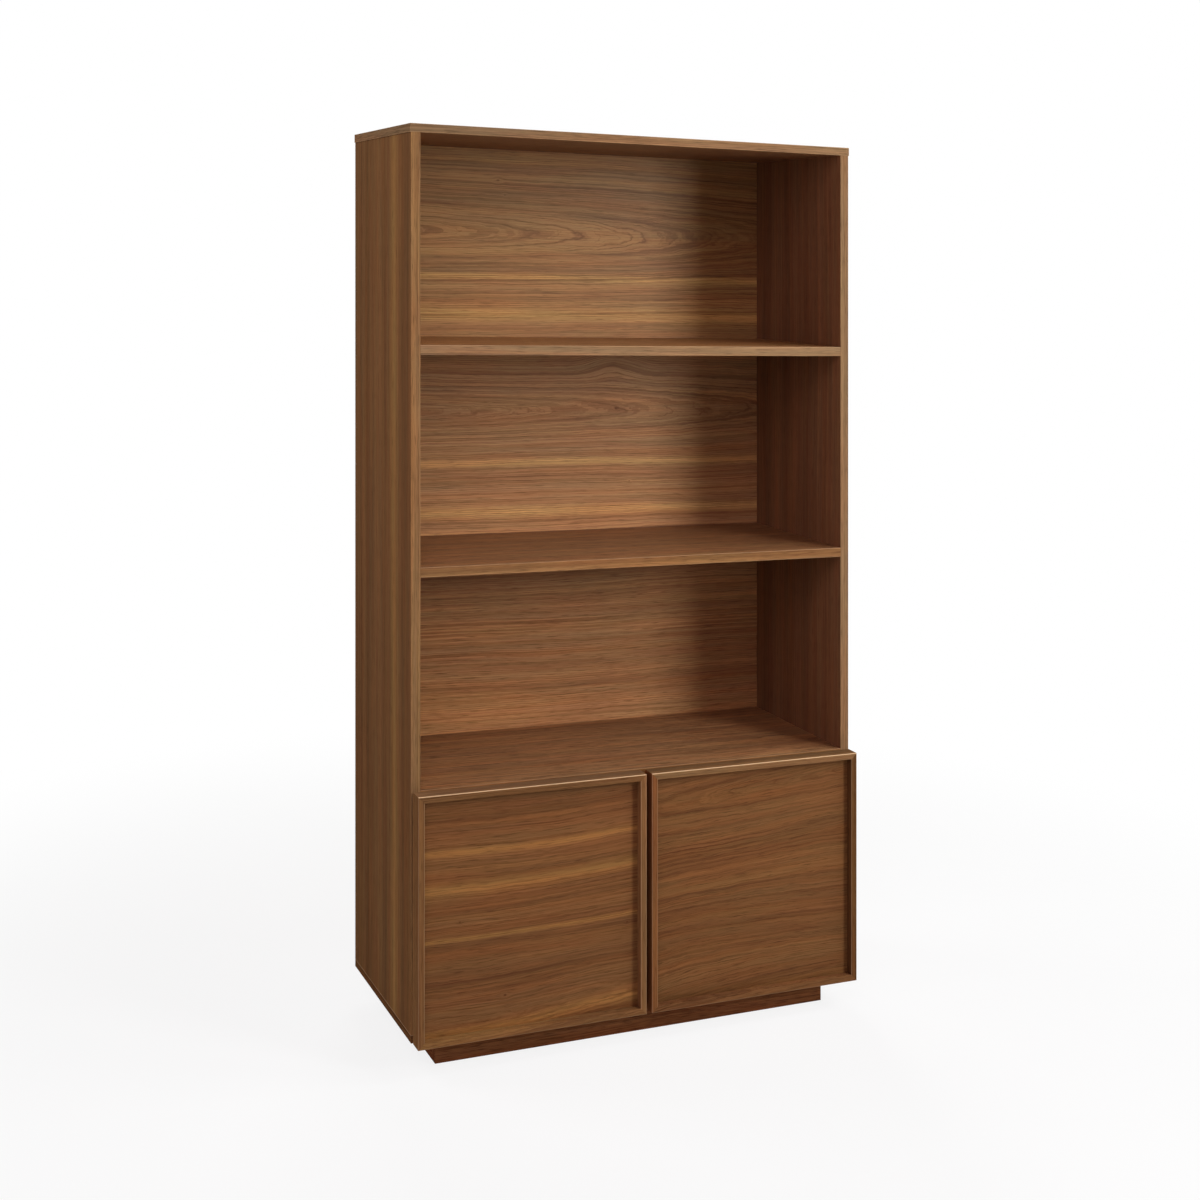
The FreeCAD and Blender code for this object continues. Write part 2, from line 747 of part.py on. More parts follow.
def build_doors(nodes):
    """Both doors with their cups, pins, strikes and bumpers. The right one mirrors the left."""
    cups = both_levels(hinge_cup)
    pins = both_levels(hinge_pin)
    screws = both_levels(cup_screws)
    strike = strike_plate()
    cutters = both_levels(cup_bore) + blanks(screws) + [strike]
    left = {f"door_{name}": [bored(bar, cutters)] for name, bar in door_frame().items()}
    left["door_panel"] = [bored(door_panel(), cutters)]
    left["hinge_cups"] = [bored(cup, pins + blanks(screws)) for cup in cups]
    left["hinge_pins"] = pins
    left["cup_screws"] = finished(screws)
    left["strike_plate"] = [strike]
    left["door_bumpers"] = door_bumpers()
    for name, solids in left.items():
        nodes[f"left_{name}"] = solids
        nodes[f"right_{name}"] = mirrored(solids)


def build_hinge_mounts(nodes):
    """What the hinges and catches fasten to the carcass, on both sides."""
    wing_screws = both_levels(plate_screws)
    arm_fixings = both_levels(arm_screws)
    arms = [bored(arm, blanks(arm_fixings)) for arm in both_levels(hinge_arm)]
    plates = [bored(plate, blanks(wing_screws + arm_fixings)) for plate in both_levels(hinge_plate)]
    magnet = catch_magnet()
    level = cabinet_board_base - catch_height
    housing = catch_block(catch_length, catch_depth, catch_height, catch_lead, level)
    housing_screws = catch_screws()
    housing = bored(housing.cut(magnet), blanks(housing_screws))
    groups = {"hinge_arms": arms, "hinge_plates": plates, "plate_screws": finished(wing_screws),
              "arm_screws": finished(arm_fixings), "catch_housings": [housing], "catch_magnets": [magnet],
              "catch_screws": finished(housing_screws)}
    for name, solids in groups.items():
        nodes[name] = solids + mirrored(solids)


def main():
    """Build every sub-part and write it out."""
    os.makedirs("parts", exist_ok=True)
    nodes = {}
    build_carcass(nodes)
    build_plinth(nodes)
    build_doors(nodes)
    build_hinge_mounts(nodes)
    for node, solids in nodes.items():
        export(node, solids)
        count = sum(len(solid.Solids) for solid in solids)
        volume = sum(solid.Volume for solid in solids)
        print(f"{node:28s} {count:3d} solids {volume / 1000:10.2f} cm3")
    print(len(nodes), "nodes")


main()
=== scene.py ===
"""Finishes, light and camera for a walnut bookcase with two cabinet doors.

The construction comes packed as separate nodes, one solid piece each. This script gives every node
its finish: sliced walnut on the boards, backs, doors and bands, bare wood on the hidden pieces, plated
metal on the hinges, moulded plastic on the catches and glides. Lengths are metres: X runs to the right,
Y to the back, Z up, with the floor at zero.
"""

import math
from dataclasses import dataclass, replace

import bpy
from mathutils import Matrix, Vector


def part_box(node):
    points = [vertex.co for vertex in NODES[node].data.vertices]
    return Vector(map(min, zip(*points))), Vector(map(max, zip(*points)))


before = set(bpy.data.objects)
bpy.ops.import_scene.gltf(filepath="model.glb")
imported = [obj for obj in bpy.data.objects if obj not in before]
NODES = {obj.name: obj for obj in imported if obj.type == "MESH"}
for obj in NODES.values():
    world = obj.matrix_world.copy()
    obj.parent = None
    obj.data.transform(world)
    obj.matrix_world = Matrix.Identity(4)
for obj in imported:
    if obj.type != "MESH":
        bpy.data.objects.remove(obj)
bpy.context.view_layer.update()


class Value:
    """A number that changes over a surface: one output socket among a finish's nodes.

    Arithmetic on it adds Math nodes to the same finish.
    """

    def __init__(self, finish, socket):
        self.finish = finish
        self.socket = socket

    def math(self, operation, *values, clamp=False):
        settings = {"operation": operation, "use_clamp": clamp}
        return self.finish.node("ShaderNodeMath", settings, values)

    def __add__(self, other):
        return self.math("ADD", self, other)

    def __sub__(self, other):
        return self.math("SUBTRACT", self, other)

    def __rsub__(self, other):
        return self.math("SUBTRACT", other, self)

    def __mul__(self, other):
        return self.math("MULTIPLY", self, other)

    def __truediv__(self, other):
        return self.math("DIVIDE", self, other)

    def __pow__(self, other):
        return self.math("POWER", self, other)

    __radd__ = __add__
    __rmul__ = __mul__

    def ramp(self, low, high):
        """0 up to low, 1 from high on, and a smooth rise between them."""
        settings = {"interpolation_type": "SMOOTHSTEP"}
        return self.finish.node("ShaderNodeMapRange", settings, [self, low, high])


def linear(channel):
    """A colour channel as it looks on a screen, 0 to 255, turned into a share of linear light: below a
    small step it is in proportion, and above it follows a power of 2.4."""
    share = channel / 255
    return share / 12.92 if share <= 0.04045 else ((share + 0.055) / 1.055) ** 2.4


def colour(red, green, blue):
    """An opaque colour for a shader, given as it looks on a screen."""
    return (linear(red), linear(green), linear(blue), 1.0)


def darker(tint, share):
    """The same opaque colour with this share of its light."""
    return (*[channel * share for channel in tint[:3]], 1.0)


class Nodes:
    """A node tree under construction."""

    def __init__(self, tree):
        self.tree = tree
        self.tree.nodes.clear()

    def node(self, kind, settings=None, values=(), output=0):
        """Adds a node: first its settings, then its sockets' values or links, by place or by name.

        Returns the output at that place or of that name, or nothing if output is None.
        """
        node = self.tree.nodes.new(kind)
        for name, setting in (settings or {}).items():
            setattr(node, name, setting)
        for place, value in values.items() if isinstance(values, dict) else enumerate(values):
            if isinstance(value, Value):
                self.tree.links.new(value.socket, node.inputs[place])
            else:
                node.inputs[place].default_value = value
        return None if output is None else Value(self, node.outputs[output])

    def seen_directly(self):
        """1 for what the camera, a mirror or glass sees, and 0 for what only lights other surfaces."""
        rays = ("Is Camera Ray", "Is Glossy Ray", "Is Transmission Ray")
        camera, glossy, transmission = [self.node("ShaderNodeLightPath", output=ray) for ray in rays]
        return camera.math("ADD", camera + glossy, transmission, clamp=True)


class Finish(Nodes):
    """A material under construction: its nodes, and the surface that they feed."""

    def __init__(self, name):
        self.material = bpy.data.materials.new(name)
        self.material.use_nodes = True
        super().__init__(self.material.node_tree)

    def place(self, axes="xyz"):
        """Where a point of the surface lies in the frame, as three values in the order of axes."""
        point = self.node("ShaderNodeTexCoord", output="Object")
        return [self.node("ShaderNodeSeparateXYZ", values=[point], output=axis.upper()) for axis in axes]

    def vector(self, x, y, z):
        return self.node("ShaderNodeCombineXYZ", values=[x, y, z])

    def noise(self, point, scales, seed=0.0, detail=2.0, roughness=0.5):
        """Soft noise about one half. scales gives its waves per metre along each axis of point."""
        settings = {"operation": "MULTIPLY_ADD"}
        offset = (seed * 3.17, seed * 5.71, seed * 7.93)
        stretched = self.node("ShaderNodeVectorMath", settings, [point, scales, offset])
        values = {"Vector": stretched, "Scale": 1.0, "Detail": detail, "Roughness": roughness}
        return self.node("ShaderNodeTexNoise", {"noise_dimensions": "3D"}, values)

    def drift(self, value, scale, seed=0.0):
        """Soft noise about one half that depends on one value alone. scale gives its waves per unit."""
        values = {"W": value * scale + seed * 11.3, "Scale": 1.0, "Detail": 1.0, "Roughness": 0.5}
        return self.node("ShaderNodeTexNoise", {"noise_dimensions": "1D"}, values)

    def distance(self, x, y):
        """How far a point is from the place where both values are zero."""
        return (x * x + y * y) ** 0.5

    def gap(self, value, place):
        """How far a value is from a number, on either side of it."""
        return self.node("ShaderNodeMath", {"operation": "ABSOLUTE"}, [value - place])

    def line(self, value, half_width):
        """1 where the value is one half, and 0 from half_width away on."""
        return 1.0 - self.gap(value, 0.5).ramp(0.0, half_width)

    def blend(self, share, first, second, way="MIX"):
        """Goes from the first colour to the second as share goes from 0 to 1."""
        settings = {"data_type": "RGBA", "blend_type": way, "clamp_factor": True}
        return self.node("ShaderNodeMix", settings, {0: share, 6: first, 7: second}, output=2)

    def tinted(self, body, tint):
        """A colour multiplied by another, channel by channel."""
        return self.blend(1.0, body, tint, way="MULTIPLY")

    def bump(self, height, strength, distance):
        values = {"Height": height, "Strength": strength, "Distance": distance}
        return self.node("ShaderNodeBump", values=values)

    def surface(self, **sockets):
        """Ends the finish in one Principled surface. A socket's name has _ for each space."""
        values = {name.replace("_", " "): value for name, value in sockets.items()}
        shader = self.node("ShaderNodeBsdfPrincipled", values=values)
        return self.show(shader)

    def show(self, shader):
        self.node("ShaderNodeOutputMaterial", values=[shader], output=None)
        return self.material


# ---------------------------------------------------------------- walnut


@dataclass
class Leaf:
    """One leaf of sliced walnut: how the log's growth rings lie in it.

    Rings are circles about the log's pith. A leaf is a plane that passes near it, so its rings show as
    nested loops about a heart line, and as nearly straight lines away from it.
    """

    heart: float = 0.0  # where the heart line lies across the grain
    start: float = 0.0  # where along the grain the leaf comes nearest to the pith
    tilt: float = 0.04  # how much further from the pith it gets per metre of grain
    depth: float = 0.0  # how far from the pith it is at the start
    lean: float = 0.0  # how far the grain climbs across the piece per metre
    ring: float = 0.005  # a year's growth
    wander: float = 0.03  # how far slow bends push the rings sideways
    ripple: float = 0.006  # how far short waves push them sideways
    dive: float = 0.008  # how far short waves push them through the leaf
    lines: float = 0.5  # how dark the late wood is drawn
    marks: float = 1.0  # how strong the fine marks along the grain are
    broad: float = 1.0  # how strong the broad bands are
    gold: tuple = ()  # golden bands: where each lies across the grain, and its half width
    swells: tuple = ()  # where rings bow: places along and across, half length, half width, height
    knots: tuple = ()  # pin knots: place along the grain, place across it, and radius
    seed: float = 0.0  # which of many like logs it is from
    tone: tuple = (1.0, 1.0, 1.0)  # what the colours are multiplied by: the wood's own tone, with painted light and shade in it as well
    lining: tuple = ()  # the same for the leaf on the board's other face, where it differs


PALE = colour(150, 107, 68)
BROWN = colour(128, 88, 55)
GREY = colour(125, 89, 62)
ORANGE = colour(158, 107, 63)
GOLD = colour(178, 130, 76)
LATE = colour(82, 46, 26)  # late wood, and the vessels' fine marks
PORE = colour(58, 35, 21)
ROSY = (1.04, 0.98, 0.95, 1.0)  # the casts that cloud the colours, as multipliers
OLIVE = (0.965, 1.02, 1.00, 1.0)
PAINTED_HIGHLIGHT = colour(214, 180, 140)  # painted highlight: a pale colour laid along an edge where the lacquer would catch the light
PAINTED_HIGHLIGHT_WIDTH = 0.0016  # how wide that painted highlight is
SATIN = 0.12  # how strongly the lacquer on the boards and the backs mirrors
LINING_DEPTHS = (0.008, 0.010)  # how far below a board's face the leaf of its other face takes over


def rings(finish, along, across, through, leaf):
    """How the log lies in a leaf: the place across the grain once its bends are taken out, how much of a
    knot's eye is there, and the wood's age in years.

    A point's distance from the pith is the root of (sideways squared plus deep squared), and its age is
    that distance over a year's growth. Slow bends and short ripples shift the rings sideways, a swell
    bows them within an oval, and a knot spreads them around it.
    """
    point = finish.vector(along, across, through)
    bend = finish.noise(point, (1.3, 3.5, 3.5), leaf.seed, detail=1.0) - 0.5
    ripple = finish.noise(point, (14.0, 50.0, 50.0), leaf.seed + 1, detail=3.0, roughness=0.6) - 0.5
    dive = finish.noise(point, (20.0, 45.0, 45.0), leaf.seed + 2, detail=3.0, roughness=0.6) - 0.5
    flow = across - along * leaf.lean + bend * leaf.wander + ripple * leaf.ripple
    for place, level, half_length, half_width, height in leaf.swells:
        near = 1.0 - finish.gap(along, place).ramp(0.0, half_length)
        flow = flow - near * (1.0 - finish.gap(across, level).ramp(0.0, half_width)) * height

    squeeze = 1.5  # how much longer than wide a knot is
    spread = 0.8  # how far the rings keep clear of its middle
    eye_share = 0.25  # the dark eye's share of its radius
    eyes = 0.0
    for place, level, radius in leaf.knots:
        away = finish.distance(along - place, (across - level) * squeeze)
        flow = flow - (across - level) * (1.0 - away.ramp(0.0, radius)) * spread
        eyes = (1.0 - away.ramp(0.0, radius * eye_share)) + eyes

    sideways = flow - leaf.heart
    deep = (along - leaf.start) * leaf.tilt + through + leaf.depth + dive * leaf.dive
    age = finish.distance(sideways, deep) / leaf.ring
    return flow, eyes, age


def walnut(finish, along, across, through, leaf):
    """Colour, roughness and height of a leaf of walnut, from a point's place along the grain, across it
    and below the leaf's face.

    Soft noises of the wood's age alone draw what follows the rings: a thin dark line wherever one of
    them passes one half, runs of a few years, and broad bands. Noises stretched along the grain, which
    follow its bends, draw streaks, the marks of single vessels and their pores. Golden bands lie at
    places of their own, the eyes of knots are dark, and clouds of a rosy and an olive cast lie over all.
    """
    flow, eyes, age = rings(finish, along, across, through, leaf)

    # what follows the rings: where the late wood fades, thinner lines show a little more
    epoch = finish.drift(age, 0.09, leaf.seed + 9)
    run = finish.drift(age, 0.35, leaf.seed + 6)
    point = finish.vector(along, across, through)
    fade = finish.noise(point, (2.5, 25.0, 25.0), leaf.seed + 4).ramp(0.30, 0.62)
    late = finish.line(finish.drift(age, 0.60, leaf.seed), half_width=0.07) * (fade * 0.8 + 0.2)
    thin = finish.line(finish.drift(age, 1.30, leaf.seed + 5), half_width=0.09) * (1.0 - fade * 0.4)

    # what is stretched along the grain, from the broadest to the finest
    grain = finish.vector(along, flow, through)
    warm = finish.noise(grain, (1.4, 28.0, 28.0), leaf.seed + 8, roughness=0.6)
    cloud = finish.noise(grain, (4.0, 45.0, 45.0), leaf.seed + 11, detail=3.0, roughness=0.6)
    streak = finish.noise(grain, (1.8, 70.0, 70.0), leaf.seed + 6, roughness=0.6)
    fine = finish.noise(grain, (3.5, 330.0, 330.0), leaf.seed + 3, detail=3.0, roughness=0.75) - 0.5
    dash = finish.noise(grain, (7.0, 520.0, 520.0), leaf.seed + 10, roughness=0.6)
    pore = finish.noise(grain, (28.0, 1100.0, 1100.0), leaf.seed + 7, detail=1.0).ramp(0.56, 0.70)

    # the colours, one over the other
    body = finish.blend(epoch.ramp(0.36, 0.64) * leaf.broad, BROWN, PALE)
    body = finish.blend(streak.ramp(0.44, 0.62) * (0.3 * leaf.broad), body, GREY)
    body = finish.blend(run.ramp(0.50, 0.68) * (0.4 * leaf.broad), body, ORANGE)
    body = finish.blend(warm.ramp(0.44, 0.66) * (0.5 * leaf.broad), body, ORANGE)
    for place, half_width in leaf.gold:
        body = finish.blend((1.0 - finish.gap(flow, place).ramp(0.0, half_width)) * 0.8, body, GOLD)
    body = finish.blend(late * leaf.lines, body, LATE)
    body = finish.blend(thin * (0.75 * leaf.lines), body, LATE)
    body = finish.blend(dash.ramp(0.50, 0.68) * (0.35 * leaf.marks), body, LATE)
    if leaf.knots:
        body = finish.blend(eyes * 0.8, body, LATE)
    shade = fine * leaf.marks + 1.0
    body = finish.tinted(body, finish.vector(shade, shade, shade))
    body = finish.blend(pore * (0.6 * leaf.marks), body, PORE)
    body = finish.tinted(body, finish.blend(cloud.ramp(0.35, 0.65), ROSY, OLIVE))
    tone = (*leaf.tone, 1.0)
    if leaf.lining:
        tone = finish.blend(through.ramp(*LINING_DEPTHS), tone, (*leaf.lining, 1.0))
    body = finish.tinted(body, tone)
    rough = 0.44 + fine * 0.2 + pore * 0.12
    height = fine * 0.5 - late * 0.25 - pore
    return body, rough, height


def dress(material, *names):
    """Gives a finish to these nodes."""
    for name in names:
        for slot in NODES[name].material_slots:
            slot.material = material


def painted_highlights(finish, node, axes, shares, wraps, top_highlight):
    """Where a painted highlight lies, as a share from 0 to 1, along edges where the lacquer would catch
    the light.
    shares gives its strength along the two long edges of a piece's front, the lower one and then the
    upper one, and the last argument the strength of the painted light over the piece's whole upper face.

    A point's distance from an edge is the larger of its distances from the two faces that meet there.
    A band that wraps round corners also has such edges along its ends.
    """
    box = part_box(node)
    along, across, through = ["xyz".index(axis) for axis in axes]
    reach, level, depth = finish.place(axes)
    depth = depth - box[0][through]
    if wraps:
        ends = finish.gap(finish.gap(reach, 0.0), box[1][along])
        depth = depth.math("MINIMUM", depth, ends)
    below, above = [finish.gap(level, corner[across]) for corner in box]
    # pale gathers the share of painted highlight at each point
    pale = 0.0
    for inwards, share in zip((below, above), shares):
        away = inwards.math("MAXIMUM", inwards, depth)
        pale = (1.0 - away.ramp(PAINTED_HIGHLIGHT_WIDTH / 2, PAINTED_HIGHLIGHT_WIDTH)) * share + pale
    if top_highlight:
        pale = (1.0 - above.ramp(PAINTED_HIGHLIGHT_WIDTH / 8, PAINTED_HIGHLIGHT_WIDTH / 4)) * top_highlight + pale
    return pale


def veneer(node, axes, leaf, gloss=0.0, wraps=False, highlight_shares=(), top_highlight=0.0):
    """Dresses a node in a leaf of walnut of its own, under thin satin lacquer.

    axes names the frame's axes along the grain, across it and through the leaf, whose face is the node's
    lower side on the last of them. A band that wraps round a corner has its grain along both other axes.
    The last two arguments paint highlights: how strong a painted highlight is along the lower and the
    upper edge of its front, and how much painted light lies over its upper face.
    """
    finish = Finish(node + "_walnut")
    along, across, through = finish.place(axes)
    if wraps:
        along, through = along + through, 0.0
    else:
        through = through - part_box(node)[0]["xyz".index(axes[2])]
    body, rough, height = walnut(finish, along, across, through, leaf)
    # painted highlights: a pale colour blended in along the edges that would catch the light, and over
    # the upper face
    if highlight_shares:
        body = finish.blend(painted_highlights(finish, node, axes, highlight_shares, wraps, top_highlight), body, PAINTED_HIGHLIGHT)
    normal = finish.bump(height, strength=0.25, distance=0.0002)
    material = finish.surface(Base_Color=body, Roughness=rough, Normal=normal, Specular_IOR_Level=gloss)
    dress(material, node)


# ---------------------------------------------------------------- the backs

# the backs' tones, much lighter than the doors' of the same veneer, hold painted light as well as the
# wood's own tone
UPPER = Leaf(
    heart=1.527, start=-0.5, tilt=0.075, ripple=0.0045, lines=0.6, marks=0.8, broad=0.7, seed=1,
    gold=((1.431, 0.012), (1.358, 0.020)),
    knots=((-0.162, 1.633, 0.020), (-0.147, 1.603, 0.012)),
    tone=(1.31, 1.51, 1.48),
)
MIDDLE = Leaf(
    heart=1.165, start=-0.6, tilt=0.05, ripple=0.0045, lines=0.6, marks=0.8, broad=0.7, seed=2,
    gold=((1.053, 0.014), (0.950, 0.016)),
    swells=((0.100, 1.262, 0.10, 0.06, 0.018),),
    knots=((0.102, 1.163, 0.018), (0.135, 1.163, 0.016), (0.133, 1.009, 0.012)),
    tone=(1.60, 1.81, 2.02),
)
LOWER = Leaf(
    heart=0.49, start=-0.20, tilt=0.06, ripple=0.0045, broad=0.8, seed=3, tone=(1.68, 1.80, 1.90)
)
CABINET_BACK = Leaf(heart=0.2, seed=4, tone=(1.6, 1.6, 1.6))
veneer("upper_back_panel", "xzy", UPPER, gloss=SATIN)
veneer("middle_back_panel", "xzy", MIDDLE, gloss=SATIN)
veneer("lower_back_panel", "xzy", LOWER, gloss=SATIN)
veneer("cabinet_back_panel", "xzy", CABINET_BACK, gloss=SATIN)


# ---------------------------------------------------------------- the sides

# a leaf cut far from the pith, whose rings are nearly straight lines
STRAIGHT = Leaf(depth=0.3, tilt=0.0, wander=0.02, ripple=0.003, dive=0.0)
BAND = replace(STRAIGHT, ring=0.003, lines=0.3)  # the thin strips along the boards' front edges
SIDES = {
    "left": replace(
        STRAIGHT, heart=0.9, lines=0.15, marks=0.7, broad=0.65, gold=((-0.06, 0.035),), seed=5,
        tone=(0.71, 0.78, 0.85), lining=(1.5, 1.4, 1.35),
    ),
    "right": replace(
        STRAIGHT, heart=-0.8, lines=0.18, marks=0.65, broad=0.75, seed=6, tone=(0.65, 0.67, 0.82)
    ),
}
SIDE_BANDS = {
    "left": replace(BAND, seed=20, tone=(1.12, 1.34, 1.47)),
    "right": replace(BAND, seed=21, tone=(1.02, 1.31, 1.65)),
}
for side in SIDES:
    veneer(side + "_side_panel", "zyx", SIDES[side])
    veneer(side + "_side_edge_band", "zxy", SIDE_BANDS[side])


# ---------------------------------------------------------------- the boards

# each board's tone, and its band's: the wood's own tone, with painted light and shade in it as well
BOARDS = {
    "top": ((1.05, 1.08, 1.25), (0.84, 1.08, 1.43)),
    "bottom": ((1.0, 1.0, 1.0), (0.50, 0.49, 0.50)),
    "cabinet_board": ((1.21, 1.29, 1.43), (0.96, 0.88, 0.76)),
    "lower_shelf": ((1.01, 1.03, 1.13), (1.10, 1.20, 1.26)),
    "upper_shelf": ((1.22, 1.22, 1.16), (1.06, 1.36, 1.79)),
    "inner_shelf": ((1.0, 1.0, 1.0), (1.0, 1.0, 1.0)),
}
BOARD = Leaf(heart=-0.25, depth=0.05, tilt=0.02, wander=0.05, marks=2.0)
for number, (board, (tone, band_tone)) in enumerate(BOARDS.items()):
    node = board + "_panel" if board in ("top", "bottom") else board
    veneer(node, "xyz", replace(BOARD, seed=10 + number, tone=tone), gloss=SATIN)
    # painted highlights along the lower and the upper edge of each band's front
    highlight_shares = (0.0, 0.45) if board == "bottom" else (0.1, 0.25)
    band = replace(BAND, seed=30 + number, tone=band_tone)
    veneer(board + "_edge_band", "xzy", band, wraps=True, highlight_shares=highlight_shares)


# ---------------------------------------------------------------- the doors

PANELS = {
    "left_door": Leaf(
        heart=0.10, start=-1.0, tilt=0.03, lean=0.02, wander=0.08, lines=0.35, marks=0.8, broad=0.6,
        gold=((0.405, 0.010), (0.345, 0.02), (0.245, 0.007), (0.085, 0.015)),
        knots=((-0.371, 0.269, 0.012), (-0.039, 0.228, 0.012), (-0.284, 0.125, 0.020)),
        seed=41, tone=(0.79, 0.75, 0.69),
    ),
    "right_door": Leaf(
        heart=0.437, start=0.6, tilt=0.06, lean=0.08, wander=0.07, ripple=0.010, lines=0.4, marks=0.8,
        broad=0.5, seed=42, tone=(0.75, 0.72, 0.64),
    ),
}
# each bar's tone: the wood's own tone, with painted light and shade in it as well
BAR_TONES = {
    "left_door": {
        "hinge": (0.95, 1.04, 1.07),
        "meeting": (0.90, 0.94, 0.99),
        "top": (0.66, 0.67, 0.69),
        "bottom": (0.71, 0.75, 0.80),
    },
    "right_door": {
        "hinge": (0.50, 0.50, 0.48),
        "meeting": (0.76, 0.65, 0.62),
        "top": (0.82, 0.94, 1.06),
        "bottom": (0.78, 0.75, 0.78),
    },
}
TOP_HIGHLIGHTS = {"left_door": 0.10, "right_door": 0.0}  # how much painted light lies over the upper faces of the top bars
BAR = replace(STRAIGHT, lines=0.3, marks=0.8)  # the bottom bars are cut from the panels' own leaf
for door, panel in PANELS.items():
    veneer(door + "_panel", "xzy", panel, gloss=0.05)
    for seed, (bar, tone) in enumerate(BAR_TONES[door].items(), 50):
        node = f"{door}_{bar}_bar"
        leaf = replace(BAR, seed=seed, tone=tone)
        # painted highlights along the bars' front edges, and painted light over the top bars' upper
        # faces
        if bar == "top":
            veneer(node, "xzy", leaf, highlight_shares=(0.0, 1.0), top_highlight=TOP_HIGHLIGHTS[door])
        elif bar == "bottom":
            veneer(node, "xzy", replace(panel, tone=tone), highlight_shares=(0.2, 0.0))
        else:
            veneer(node, "zxy", leaf, highlight_shares=(0.2, 0.2))


# ---------------------------------------------------------------- the plinth

RAIL = replace(STRAIGHT, marks=1.5, tone=(1.02, 0.87, 0.90))
for seed, rail in enumerate(("front", "back", "left", "right", "centre"), 90):
    axes = "xzy" if rail in ("front", "back") else "yzx"
    veneer(f"plinth_{rail}_rail", axes, replace(RAIL, seed=seed))


# ---------------------------------------------------------------- metal, plastic and bare wood


def plated(name, tint, roughness):
    """Plated steel: faint cloudy patches and rolling lines in its polish."""
    finish = Finish(name)
    point = finish.vector(*finish.place())
    cloud = finish.noise(point, (90.0, 90.0, 90.0), detail=3.0)
    brush = finish.noise(point, (400.0, 400.0, 6000.0), seed=2)
    body = finish.blend(cloud.ramp(0.35, 0.65), tint, darker(tint, 0.82))
    rough = roughness + (cloud - 0.5) * 0.25 + (brush - 0.5) * 0.15
    normal = finish.bump(brush, strength=0.1, distance=0.00005)
    return finish.surface(Base_Color=body, Metallic=1.0, Roughness=rough, Normal=normal)


def moulded(name, tint, roughness):
    """Moulded plastic or rubber with a fine spark-eroded grain."""
    finish = Finish(name)
    point = finish.vector(*finish.place())
    grain = finish.noise(point, (2600.0, 2600.0, 2600.0))
    cloud = finish.noise(point, (60.0, 60.0, 60.0), seed=1)
    body = finish.blend(cloud.ramp(0.3, 0.7), tint, darker(tint, 0.85))
    rough = roughness + (grain - 0.5) * 0.2
    normal = finish.bump(grain, strength=0.2, distance=0.00008)
    return finish.surface(Base_Color=body, Roughness=rough, Normal=normal)


def bare_wood(name, tint):
    """Unfinished beech, its grain along X: short dark flecks and broad paler and darker bands."""
    finish = Finish(name)
    point = finish.vector(*finish.place())
    band = finish.noise(point, (4.0, 120.0, 120.0), detail=3.0)
    fleck = finish.noise(point, (120.0, 900.0, 900.0), seed=1, detail=1.0)
    body = finish.blend(band.ramp(0.35, 0.65), tint, darker(tint, 0.8))
    body = finish.blend(fleck.ramp(0.60, 0.70) * 0.5, body, darker(tint, 0.55))
    rough = 0.62 + (band - 0.5) * 0.15
    normal = finish.bump(band - fleck * 0.5, strength=0.3, distance=0.0002)
    return finish.surface(Base_Color=body, Roughness=rough, Normal=normal)


NICKEL = plated("satin_nickel", (0.60, 0.57, 0.52, 1.0), 0.30)
ZINC = plated("bright_zinc", (0.62, 0.64, 0.66, 1.0), 0.34)
MAGNET = plated("dull_steel", (0.28, 0.28, 0.29, 1.0), 0.45)
BROWN_PLASTIC = moulded("brown_plastic", colour(78, 52, 36), 0.5)
DARK_NYLON = moulded("dark_nylon", colour(40, 34, 30), 0.6)
CLEAR_RUBBER = moulded("pale_rubber", colour(205, 202, 194), 0.55)
BEECH = bare_wood("bare_beech", colour(203, 168, 122))
dress(NICKEL, "left_hinge_cups", "right_hinge_cups", "left_hinge_pins", "right_hinge_pins")
dress(NICKEL, "hinge_arms", "hinge_plates")
dress(ZINC, "plate_screws", "arm_screws", "left_cup_screws", "right_cup_screws", "catch_screws")
dress(ZINC, "block_screws", "bracket_screws", "wall_brackets", "shelf_pins")
dress(ZINC, "left_strike_plate", "right_strike_plate")
dress(MAGNET, "catch_magnets")
dress(BROWN_PLASTIC, "catch_housings")
dress(DARK_NYLON, "glides")
dress(CLEAR_RUBBER, "left_door_bumpers", "right_door_bumpers")
dress(BEECH, "dowels", "plinth_corner_blocks")


# ---------------------------------------------------------------- floor, light and camera


def floor():
    """A pale floor that takes the shadow near the object and fades to white away from it."""
    reach = 30.0
    glow = 0.84  # how much of what is seen near the object is plain white, and not the lit floor
    fade_from, fade_to = 0.7, 2.2  # how far from the middle that share starts to rise, and reaches 1
    mesh = bpy.data.meshes.new("floor")
    corners = [(-reach, -reach, 0), (reach, -reach, 0), (reach, reach, 0), (-reach, reach, 0)]
    mesh.from_pydata(corners, [], [(0, 1, 2, 3)])
    obj = bpy.data.objects.new("floor", mesh)
    bpy.context.scene.collection.objects.link(obj)
    finish = Finish("pale_floor")
    x, y = finish.place("xy")
    away = finish.distance(x, y)
    white = finish.node("ShaderNodeEmission", values=[(1.0, 1.0, 1.0, 1.0), 1.0])
    grain = finish.noise(finish.vector(x, y, 0.0), (9.0, 9.0, 9.0), detail=3.0)
    tint = finish.blend(grain, (0.80, 0.80, 0.80, 1.0), (0.84, 0.84, 0.84, 1.0))
    pale = finish.node("ShaderNodeBsdfDiffuse", values=[tint, 0.0])
    share = finish.seen_directly() * (glow + (1.0 - glow) * away.ramp(fade_from, fade_to))
    mesh.materials.append(finish.show(finish.node("ShaderNodeMixShader", values=[share, pale, white])))


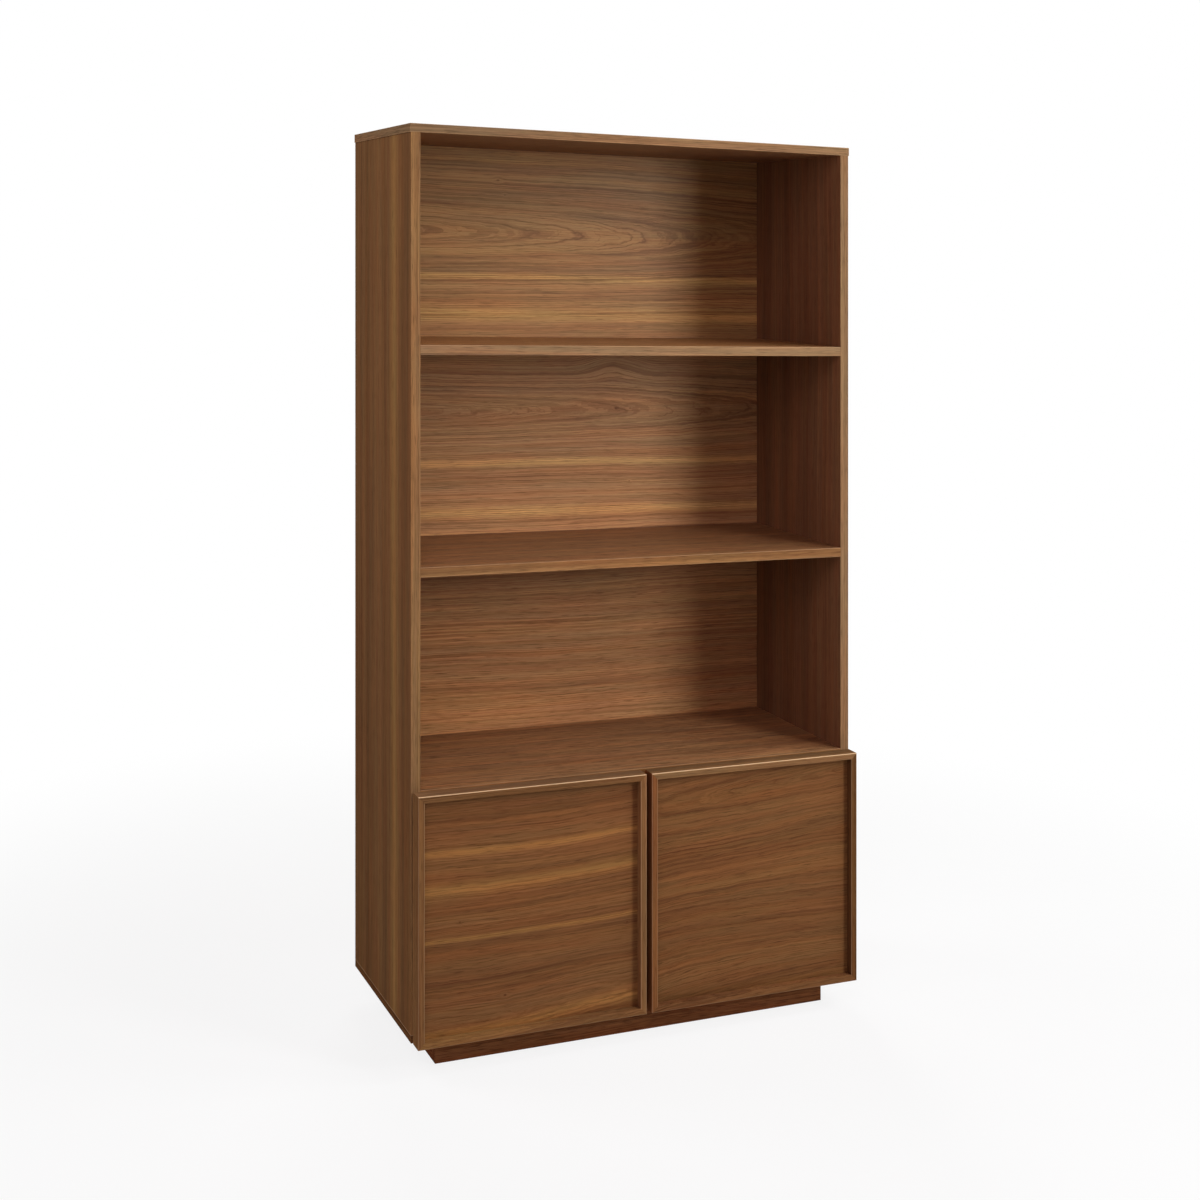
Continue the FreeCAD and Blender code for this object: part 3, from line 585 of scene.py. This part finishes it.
def surroundings():
    """White where it is seen, and dark to everything else, so that only the lamps light the object."""
    world = bpy.data.worlds.new("studio")
    bpy.context.scene.world = world
    world.use_nodes = True
    sky = Nodes(world.node_tree)
    light = sky.node("ShaderNodeBackground", values=[(1.0, 1.0, 1.0, 1.0), sky.seen_directly()])
    sky.node("ShaderNodeOutputWorld", values=[light], output=None)


WHITE = (1.0, 1.0, 1.0)
WARM = (1.0, 0.80, 0.86)  # light thrown back by a wooden floor


def softbox(name, azimuth, elevation, distance, size, level, aim, spread=180, tint=WHITE):
    """A square lamp that faces a point at height aim. Azimuth 0 is in front, and positive to the right.

    level is how bright a white card there, turned to the lamp, would look: the lamp's power is level
    times pi squared times distance squared. spread is how wide the lamp's beam is, in degrees.
    """
    lamp = bpy.data.lights.new(name, "AREA")
    lamp.color = tint
    lamp.size = size
    lamp.spread = math.radians(spread)
    lamp.energy = level * math.pi**2 * distance**2
    turn, rise = math.radians(azimuth), math.radians(elevation)
    back = Vector((math.sin(turn) * math.cos(rise), -math.cos(turn) * math.cos(rise), math.sin(rise)))
    obj = bpy.data.objects.new(name, lamp)
    obj.location = Vector((0.0, 0.0, aim)) + back * distance
    obj.rotation_euler = back.to_track_quat("Z", "Y").to_euler()
    bpy.context.scene.collection.objects.link(obj)


def set_camera():
    """A level camera whose lens is shifted, so that upright edges stay parallel.

    Level edges slope a little and upright ones don't, as in a picture squared up to its upright edges
    after a slight roll. That slope is part of the camera's own axes, which it gets through its parent.
    """
    image_side = 1200.0  # pixels
    focal_length = 1755.884  # pixels
    horizon = 264.68  # pixels below the picture's upper edge
    slope = 0.025
    turn = math.radians(23.448)
    place = Vector((-1.4027, -3.2030, 1.4651))

    camera = bpy.data.cameras.new("camera")
    camera.sensor_width = 36.0
    camera.lens = camera.sensor_width * focal_length / image_side
    camera.shift_y = (horizon - image_side / 2) / image_side
    obj = bpy.data.objects.new("camera", camera)
    bpy.context.scene.collection.objects.link(obj)
    forward = Vector((math.sin(turn), math.cos(turn), 0.0))
    right = Vector((math.cos(turn), -math.sin(turn), 0.0))
    upward = Vector((0.0, 0.0, 1.0))
    axes = Matrix((right + slope * upward, upward, -forward)).transposed()
    stand = bpy.data.objects.new("camera_stand", None)
    bpy.context.scene.collection.objects.link(stand)
    obj.parent = stand
    obj.matrix_parent_inverse = Matrix.Translation(place) @ axes.to_4x4()
    bpy.context.scene.camera = obj


floor()
surroundings()
softbox("key_light", 34.7, 13, distance=3.2, size=0.8, level=0.439, aim=0.95)
softbox("high_key_light", 34, 24, distance=3.2, size=0.95, level=0.048, aim=1.3, spread=70)
softbox("right_light", 65, 36, distance=3.2, size=1.2, level=0.447, aim=0.95)
softbox("left_high_light", -25, 35, distance=3.4, size=1.6, level=0.055, aim=1.3, spread=80, tint=WARM)
softbox("left_low_light", -36, 8, distance=3.4, size=1.6, level=0.032, aim=1.3, spread=80, tint=WARM)
softbox("left_side_light", -76, 8, distance=3.4, size=1.2, level=0.038, aim=0.95, spread=80, tint=WARM)
softbox("rear_light", -120, 35, distance=3.4, size=1.6, level=0.102, aim=1.3, spread=80)
softbox("back_light", 168, 25, distance=3.4, size=1.6, level=0.14, aim=0.95, spread=80)
set_camera()
bpy.context.scene.view_settings.view_transform = "Standard"
